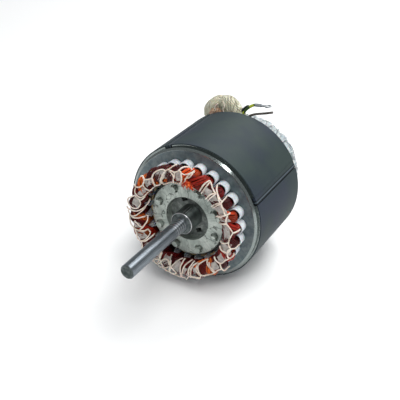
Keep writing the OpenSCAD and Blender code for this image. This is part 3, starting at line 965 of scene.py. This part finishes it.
# %% The braid
def sleeve_cloth(name, *codes):
    """A braid: rows 2.6 mm apart run at 0.8 x + z, fainter ones cross them at z - 0.9 x, and both
    are bent by a slow noise. Painted shade darkens the grooves between the rows, and a crease where a
    stretched noise is close to 0.5."""
    mat, node, plug = new_material(name, Roughness=0.8, Sheen_Weight=0.3, Subsurface_Weight=0.1,
                                   Subsurface_Scale=0.002)
    co = node("TexCoord", out="Object")
    x, _, z = node("SeparateXYZ", co, out=None)
    bend = node("Math MULTIPLY", node("TexNoise", co, 1 / (12 * MM), 2), 14.0)
    grooves = []
    for slant, depth in ((0.8, 0.75), (-0.9, 0.4)):
        along = node("Math MULTIPLY_ADD", x, slant, z)
        along = node("Math MULTIPLY_ADD", along, 2 * math.pi / (2.6 * MM), bend)
        groove = node("Math MULTIPLY_ADD", node("Math SINE", along), -0.5, 0.5)
        grooves.append(node("Math MULTIPLY", node("Math POWER", groove, 2.0), depth))
    groove = node("Math MAXIMUM", *grooves)
    cloud = node("TexNoise", co, 1 / (8 * MM), 5, 0.6)
    base = node("ValToRGB", cloud, stops=list(zip((0.28, 0.5, 0.74), codes)))
    # painted shade: the grooves between the rows are coloured dark olive
    braid = node("Mix RGBA", groove, base, "#6d6a50")
    # painted shade: a crease, where a stretched noise is close to 0.5, is coloured dark
    slack = node("Mapping", co, Scale=(1, 0.5, 0.22), Rotation=(0, 0.5, 0))
    off = node("Math SUBTRACT", node("TexNoise", slack, 1 / (7 * MM), 1), 0.5)
    near = node("Math MULTIPLY_ADD", node("Math ABSOLUTE", off), -18.0, 1.0)
    crease = node("Math MAXIMUM", near, 0.0)
    dark = node("Math MULTIPLY", crease, 0.4)
    plug(node("Mix RGBA", dark, braid, "#4f4a36"), "Base Color")
    height = node("Math MULTIPLY_ADD", groove, -0.5, node("Math MULTIPLY", crease, -2.0))
    plug(node("Bump", Height=height, Distance=0.6 * MM), "Normal")
    return mat


cotton = sleeve_cloth("Cotton sleeve", "#bcb798", "#dedabe", "#eeebd8")
stained = sleeve_cloth("Varnish-stained sleeve", "#9a6a4c", "#c79a7c", "#d9ccba")
print("two sleeve cloths")

# %% Fold the sleeves and tie them
PARTS = [  # cloth, points and radii in mm, height for its width, depth of the folds
    (cotton, [(-34, 79, 87), (-26, 78.5, 90.5), (-18, 79, 84.5), (-10.5, 80, 76), (-9, 80, 69)],
     [10.5, 11.8, 11.2, 10, 8], 0.85, 0.035),
    (cotton, [(-36, 77.5, 82), (-31, 77, 91.5), (-39, 76.5, 90), (-48, 77, 84),
              (-53.5, 78.5, 75), (-54, 80, 66)],
     [7, 9, 9, 9, 8.5, 7], 0.85, 0.06),
    (cotton, [(-52, 82, 68), (-42, 82, 78), (-28, 82, 81), (-14, 82, 75)],
     [7, 9, 10, 8], 0.8, 0.05),
    (stained, [(-49, 72.5, 72), (-44, 70.5, 78.5), (-37, 70.5, 79.5), (-30, 72, 76)],
     [4, 5.5, 5, 3], 0.6, 0.08),
]
TIES = ([(-37, 68, 92), (-41, 67.5, 86), (-38, 68, 80), (-31, 69, 77), (-24, 70, 73)],
        [(-30, 69, 96), (-27, 68, 90), (-29, 68, 84), (-24, 69, 79), (-19, 71, 73)])
for i, (mat, points, radii, flat, folds) in enumerate(PARTS):
    v, f = sleeve(points, radii, flat, folds)
    name = "lead_bundle_piece" if i == 0 else f"lead_bundle_fold_{i}"
    seat(new_object(name, v, f, mat), "lead_bundle")
ties = [curve_through(np.array(p) * MM, 24) for p in TIES]
v, f = tubes(ties, (0, 1, 0.01), 0.7 * MM, 8)
seat(new_object("lead_bundle_ties", v, f, cord), "lead_bundle")
print(len(PARTS), "sleeves and", len(TIES), "ties")

# %% [markdown]
# ## Rotor
# The rotor's cage is die-cast aluminium: pale grey-green, with radial flow lines, fine cracks
# and small pores. The laminations between its rings are darker and spotted. Photographs of
# castings could be laid on them, but patterns made from the point's own place need no picture
# and no unwrapping. The cage keeps its CAD form, as a casting has no finer one.

# %% The cage and the laminations
def cast():
    """Flow lines: a noise over (0.06 angle, 0.12 r, y), so it is drawn out along the radius."""
    mat, node, plug = new_material("Die-cast aluminium cage", Metallic=0.55)
    co = node("TexCoord", out="Object")
    x, y, z = node("SeparateXYZ", co, out=None)
    turn = node("Math MULTIPLY", node("Math ARCTAN2", x, z), 0.06)
    out = node("Math MULTIPLY", radius_of(node, x, z), 0.12)
    flow = node("TexNoise", node("CombineXYZ", turn, out, y), 1 / (1.5 * MM), 4, 0.6)
    cloud = node("TexNoise", co, 1 / (12 * MM), 5, 0.6)
    pores = node("TexNoise", co, 1 / (0.9 * MM), 4, 0.7)
    both = node("Math MULTIPLY_ADD", flow, 0.5, node("Math MULTIPLY", cloud, 0.5))
    metal = node("ValToRGB", both, stops=[(0.34, "#7f8882"), (0.5, "#aab3ac"), (0.66, "#ccd2cb")])
    crack = node("Math COMPARE", node("TexNoise", co, 1 / (26 * MM), 2.5, 0.55), 0.5, 0.006)
    crack = node("Math MULTIPLY", crack, 0.75)
    plug(node("Mix RGBA", crack, metal, "#454b48"), "Base Color")
    plug(node("Math MULTIPLY_ADD", pores, 0.25, 0.33), "Roughness")
    height = node("Math ADD", flow, node("Math MULTIPLY", pores, 0.6))
    plug(node("Bump", Height=height, Distance=0.12 * MM), "Normal")
    return mat


def rotor_steel():
    """Blotches 6 mm wide, which are lighter where they are rougher."""
    mat, node, plug = new_material("Rotor laminations", Metallic=0.45)
    spots = node("TexNoise", node("TexCoord", out="Object"), 1 / (6 * MM), 6, 0.7)
    steel = node("ValToRGB", spots, stops=[(0.3, "#454a48"), (0.52, "#6b716e"), (0.7, "#979d97")])
    plug(steel, "Base Color")
    plug(node("Math MULTIPLY_ADD", spots, 0.3, 0.35), "Roughness")
    plug(node("Bump", Height=spots, Distance=0.1 * MM), "Normal")
    return mat


# tin on crimped strands is bright and a little uneven
tin = clouded("Tinned copper strands", (2, 4), [(0.3, "#8f959b"), (0.7, "#d0d4d6")],
              (0.8, 3), 0.1, Metallic=0.9, Roughness=0.3)
dress("rotor_cage", cast())
dress("rotor_core", rotor_steel())
dress("earth_terminal", tin)
print("cage and laminations dressed")

# %% [markdown]
# ## Shaft
# The shaft is turned from a bar and ground where the crank fits. Its thick hub keeps a dark
# oxide, with two bright lines along it that are painted highlights. The turning marks could be cut
# into the mesh, but they are a few thousandths of a millimetre deep, so they are a bump, and the
# gloss is stretched along the shaft as fine rings stretch it. The turned edge of the shoulder is
# coloured almost white, a painted highlight.

# %% The shaft's steel
HUB_R, SHOULDER_Y, TIP_Y = 14.1 * MM, -91 * MM, -208 * MM
PAINTED_HUB_HIGHLIGHTS = (0.02, 0.24)  # their angles, in radians from +Z towards +X


def shaft_steel():
    """Ground steel is bright with fine rings, and its gloss is a streak along the shaft. A spot
    is a product of two masks, one of y and one of the radius or angle."""
    mat, node, plug = new_material("Ground shaft steel", Metallic=1.0, Anisotropic=0.95)
    co = node("TexCoord", out="Object")
    x, y, z = node("SeparateXYZ", co, out=None)
    r = radius_of(node, x, z)
    drawn = node("CombineXYZ", x, node("Math MULTIPLY", y, 0.06), z)
    grain = node("TexNoise", drawn, 1 / (0.8 * MM), 3)
    cloud = node("TexNoise", co, 1 / (9 * MM), 5, 0.6)
    # the oxide of the hub, and two bright lines on it, which are painted highlights
    dark = node("Math MULTIPLY", node("Math GREATER_THAN", y, SHOULDER_Y + 0.4 * MM),
                node("Math GREATER_THAN", r, HUB_R))
    oxide = node("ValToRGB", cloud, stops=[(0.3, "#4a514f"), (0.7, "#6b7370")])
    angle = node("Math ARCTAN2", x, z)
    for place in PAINTED_HUB_HIGHLIGHTS:
        painted_highlight = node("Math MULTIPLY", node("Math COMPARE", angle, place, 0.022),
                       node("Math COMPARE", y, -80 * MM, 8 * MM))
        painted_highlight = node("Math MULTIPLY", painted_highlight, 0.6)
        oxide = node("Mix RGBA", painted_highlight, oxide, "#b9bfbd")
    # the end and the shoulder are faced by the tool
    shoulder = node("Math MULTIPLY", node("Math COMPARE", y, SHOULDER_Y, 0.25 * MM),
                    node("Math COMPARE", r, 11.2 * MM, 2.6 * MM))
    turned = node("Math ADD", node("Math LESS_THAN", y, TIP_Y + 0.4 * MM), shoulder)
    faced = node("ValToRGB", cloud, stops=[(0.38, "#4b5352"), (0.62, "#848b8b")])
    ground = node("ValToRGB", grain, stops=[(0.3, "#6d757b"), (0.7, "#8b9298")])
    bright = node("Mix RGBA", turned, ground, faced)
    # a few bright rings are left by the tool in front of the shoulder
    ring = node("Math SINE", node("Math MULTIPLY", y, 2 * math.pi / (4.2 * MM)))
    ring = node("Math MULTIPLY", node("Math GREATER_THAN", ring, 0.25),
                node("Math COMPARE", y, -105 * MM, 11 * MM))
    bright = node("Mix RGBA", node("Math MULTIPLY", ring, 0.55), bright, "#d6dbde")
    color = node("Mix RGBA", dark, bright, oxide)
    # painted highlight: the turned edge of the shoulder is coloured almost white
    painted_edge_highlight = node("Math MULTIPLY", node("Math COMPARE", y, SHOULDER_Y + 0.1 * MM, 0.7 * MM),
                node("Math COMPARE", r, HUB_R, 0.5 * MM))
    plug(node("Mix RGBA", painted_edge_highlight, color, "#d3d4d6"), "Base Color")
    # the marks run round the shaft, so its gloss is stretched along it
    plug(node("CombineXYZ", 0.04, 1.0, 0.02), "Tangent")
    rough = node("Math MULTIPLY_ADD", turned, 0.2, node("Math MULTIPLY_ADD", grain, 0.1, 0.34))
    plug(node("Math MULTIPLY_ADD", dark, 0.25, rough), "Roughness")
    marks = node("Math SINE", node("Math MULTIPLY", y, 2 * math.pi / (0.35 * MM)))
    height = node("Math MULTIPLY_ADD", marks, 0.6, node("Math MULTIPLY", grain, 0.3))
    plug(node("Bump", Height=height, Distance=0.004 * MM), "Normal")
    return mat


dress("shaft", shaft_steel())
print("shaft dressed")

# %% [markdown]
# ## Lacing of the front head
# A waxed cord is knotted by hand over every bundle. A regular net is quick to write, and the CAD
# model has one, but the real cord wanders from knot to knot. So each line of the net is a few
# spots in a crop, read along the cord. It becomes a curve on the head, which is lifted by
# the cord's radius and rises and falls a little along its way.

# %% Where the cord runs
CORD = {
    "above left": [
        [(190, 715), (230, 770), (300, 770), (350, 750), (385, 700), (400, 640)],
        [(330, 555), (372, 542), (395, 590), (402, 640)],
        [(402, 640), (430, 622), (500, 612), (560, 580), (582, 520), (620, 470), (700, 425),
         (780, 410), (850, 430), (900, 410)],
        [(582, 520), (572, 600), (600, 680), (640, 730), (720, 720), (760, 660), (765, 600)],
        [(860, 430), (815, 500), (795, 580), (765, 620), (785, 680), (835, 712), (920, 700), (1000, 660)],
        [(845, 440), (785, 540), (750, 600), (745, 660), (800, 700)],
        [(900, 410), (960, 430), (1030, 462), (1110, 450), (1150, 430)],
        [(900, 410), (960, 370), (1020, 335), (1095, 313)],
        [(1110, 450), (1150, 410), (1200, 375), (1280, 350), (1360, 372), (1405, 420)],
        [(1140, 430), (1180, 490), (1260, 515), (1340, 500), (1420, 460), (1450, 430)],
        [(920, 440), (980, 490), (1012, 560), (1012, 640), (1050, 690), (1120, 760)],
        [(1050, 460), (1032, 540), (1012, 600)],
        [(1160, 450), (1182, 540), (1182, 620), (1170, 680), (1120, 710)],
        [(1340, 580), (1280, 590), (1250, 640), (1230, 700)],
        [(1340, 580), (1400, 520), (1450, 430)],
        [(402, 640), (388, 740), (440, 812), (530, 832), (610, 770), (640, 730)],
        [(230, 770), (210, 850), (250, 930), (330, 985), (420, 940), (490, 870), (570, 830)],
        [(55, 1010), (110, 990), (170, 960), (215, 945)],
        [(215, 945), (260, 1010), (340, 1030), (420, 960)],
        [(55, 1010), (75, 1100), (130, 1180), (190, 1217), (270, 1205), (320, 1130), (310, 1040)],
        [(50, 1180), (140, 1258), (260, 1270), (380, 1210), (470, 1110), (540, 1010)],
    ],
    "below left": [
        [(65, 190), (110, 285), (190, 310), (290, 250), (400, 140)],
        [(110, 300), (220, 350), (340, 330), (440, 290)],
        [(440, 295), (430, 400), (380, 490), (290, 580)],
        [(190, 400), (250, 470), (300, 520), (360, 530)],
        [(200, 570), (290, 600), (380, 600), (450, 570), (500, 630)],
        [(500, 630), (440, 720), (380, 785), (320, 800)],
        [(580, 660), (480, 740), (390, 800), (320, 800)],
        [(200, 570), (230, 650), (260, 760), (320, 800)],
        [(320, 800), (335, 860), (350, 930)],
        [(95, 290), (110, 420), (160, 520), (200, 570)],
        [(730, 1030), (690, 1150), (640, 1225), (590, 1245), (520, 1190)],
        [(645, 1250), (720, 1190), (790, 1152), (850, 1190), (870, 1270)],
        [(600, 1240), (690, 1360), (790, 1420), (865, 1410)],
        [(905, 1180), (885, 1300), (868, 1405)],
        [(868, 1410), (920, 1300), (1000, 1220), (1080, 1160), (1140, 1140)],
        [(880, 1410), (950, 1500), (1020, 1540), (1105, 1500)],
        [(1110, 1490), (1082, 1400), (1090, 1300), (1130, 1220), (1180, 1150)],
        [(1120, 1510), (1125, 1420), (1160, 1310), (1220, 1240), (1330, 1170)],
        [(1250, 1475), (1250, 1370), (1290, 1280), (1370, 1200)],
        [(1120, 1515), (1200, 1530), (1255, 1480)],
        [(1290, 1475), (1292, 1380), (1340, 1290), (1430, 1240)],
        [(1250, 1480), (1330, 1505), (1460, 1520)],
    ],
    "below": [
        [(840, 0), (812, 100), (810, 190)],
        [(810, 190), (880, 280), (960, 400)],
        [(960, 400), (1020, 380), (1080, 350), (1115, 315)],
        [(960, 400), (925, 460), (888, 540), (870, 620), (875, 700), (920, 752)],
        [(920, 752), (1000, 742), (1060, 702), (1100, 650)],
        [(810, 190), (740, 195), (660, 180), (590, 185)],
        [(830, 0), (760, 22), (660, 45), (600, 20)],
        [(880, 560), (850, 620), (780, 640), (720, 620), (700, 580)],
        [(920, 752), (850, 835), (760, 825), (700, 770), (682, 690)],
        [(920, 752), (855, 795), (832, 860), (850, 930), (880, 970)],
        [(880, 970), (930, 950), (970, 900), (985, 850)],
        [(880, 970), (800, 1010), (740, 1060), (680, 1085)],
        [(680, 1085), (620, 1050), (572, 990), (555, 935)],
        [(680, 1095), (690, 1160), (710, 1205), (770, 1230), (835, 1190), (885, 1140)],
        [(700, 1200), (620, 1240), (550, 1290)],
        [(550, 1290), (470, 1210), (415, 1140), (390, 1070), (400, 1010)],
        [(550, 1270), (490, 1200), (440, 1130), (430, 1060)],
        [(550, 1290), (440, 1330), (340, 1350), (250, 1342)],
        [(240, 1342), (190, 1240), (185, 1140), (230, 1080), (320, 1030), (410, 985)],
        [(225, 1345), (150, 1240), (165, 1130), (210, 1085)],
        [(0, 1290), (25, 1200), (90, 1125), (185, 1070)],
        [(0, 1390), (100, 1400), (210, 1410), (250, 1345)],
    ],
    "right": [
        [(30, 540), (100, 475), (185, 432)],
        [(480, 600), (400, 655), (330, 725), (285, 805)],
        [(485, 630), (400, 740), (320, 850)],
        [(480, 600), (520, 690), (550, 770), (595, 852)],
        [(632, 685), (622, 780), (642, 900), (670, 1000), (705, 1052)],
        [(595, 852), (500, 880), (400, 960)],
        [(610, 860), (520, 930), (450, 1000)],
        [(705, 1052), (600, 1060), (510, 1110)],
        [(700, 1065), (620, 1095), (545, 1130)],
        [(705, 1045), (745, 990), (790, 940), (815, 918)],
        [(630, 850), (680, 960), (722, 1015)],
        [(705, 1052), (740, 1150), (785, 1280)],
        [(785, 1280), (700, 1295), (610, 1300)],
        [(785, 1280), (840, 1260), (890, 1225)],
    ],
}
print(sum(map(len, CORD.values())), "lines in", len(CORD), "crops")

# %% Lace the front head
NET = [on_head(crop, spots) for crop, lines in CORD.items() for spots in lines]
for a in (190, 205):  # two cells behind the shaft
    NET += [[(a - 8, 70), (a, 48), (a + 7, 66)], [(a - 8, 70), (a, 95), (a + 7, 66)],
            [(a, 95), (a + 3, 128), (a + 6, 170)], [(a + 7, 66), (a + 8, 30), (a + 8, -15)]]


def lace(points):
    """A cord's centre line, 1.35 mm above the head and 0.35 mm more or less than that."""
    p = curve_through(points, 6 * len(points))
    return head_point(p[:, 0], p[:, 1], 1.35 * MM + 0.35 * MM * wobble(len(p), 1.0))


lines = [lace(p) for p in NET]
cords = [tubes(line[None], (0.02, 1, 0.01), rng.uniform(0.75, 1.05) * MM, 7) for line in lines]
v, f = join(cords)
seat(new_object("lacing_front_piece", v, f, cord), "lacing_front")
print(len(NET), "lacing lines")

# %% [markdown]
# ## Floor, world and lamps
# The motor lies on a pale floor in a white room. One large lamp hangs overhead on the right, a
# strip stands high behind, a small one in front makes the glints, a weak one low on the right
# lifts the shadow on the shell, and one lights the floor behind. A picture of a room could light
# the motor too, but lamps can be moved one by one. The camera sees a white world, while the
# motor is lit by a grey one, so its sheen stays soft.

# %% Floor and world
FLOOR, GAP = 3.0, 0.2 * MM  # half the floor's width in metres, and how far it is below the shell
FILL = (0.42, 0.43, 0.44, 1)  # the world's grey, as linear numbers, since it is a light


def stage():
    """A floor with hardly any pattern, and a world that only the camera sees white."""
    v = np.array([[-1, -1, 0], [1, -1, 0], [1, 1, 0], [-1, 1, 0]]) * FLOOR
    v[:, 2] = -CORE_R - GAP
    mat, node, plug = new_material("Studio floor", Roughness=0.35, Specular_IOR_Level=0.3)
    cloud = node("TexNoise", node("TexCoord", out="Object"), 2.0, 2)
    plug(node("ValToRGB", cloud, stops=[(0.0, "#f4f5f4"), (1.0, "#fafafa")]), "Base Color")
    new_object("floor", v, [np.array([[0, 1, 2, 3]])], mat, smooth=False)
    world = bpy.data.worlds.new("studio")
    world.use_nodes = True
    tree = world.node_tree
    seen = add(tree, "LightPath", out="Is Camera Ray")
    sky = add(tree, "Mix RGBA", seen, FILL, "#ffffff")
    tree.links.new(sky, tree.nodes["Background"].inputs["Color"])
    bpy.context.scene.world = world
    bpy.context.scene.view_settings.view_transform = "Standard"


stage()
print("floor at", -CORE_R - GAP)


# %% Lamps
def softbox(name, place, target, size, watts):
    """A soft lamp that faces a target and isn't seen itself."""
    data = bpy.data.lights.new(name, "AREA")
    data.shape = "RECTANGLE"
    data.size, data.size_y = size
    data.energy = watts
    lamp = bpy.data.objects.new(name, data)
    back = unit(np.array(place, float) - np.array(target, float))
    side = unit(np.cross([0, 0, 1], back))
    lamp.visible_camera = False
    pose(lamp, side, np.cross(back, side), back, place)


softbox("overhead", (0.5, -0.25, 1.45), (0, 0, 0), (1.4, 1.2), 16)
softbox("behind", (0.05, 1.25, 0.9), (0, 0, 0), (0.95, 0.3), 3.0)
softbox("front", (0.38, -0.95, 1.08), (0, 0, 0), (0.4, 0.22), 4.0)
softbox("low fill", (1.25, -0.2, 0.3), (0, 0, 0), (0.9, 0.5), 2.5)
softbox("backdrop", (0, 2.3, 2.3), (0, 1.4, 0), (2.0, 1.0), 60)
print(len(bpy.data.lights), "lamps")
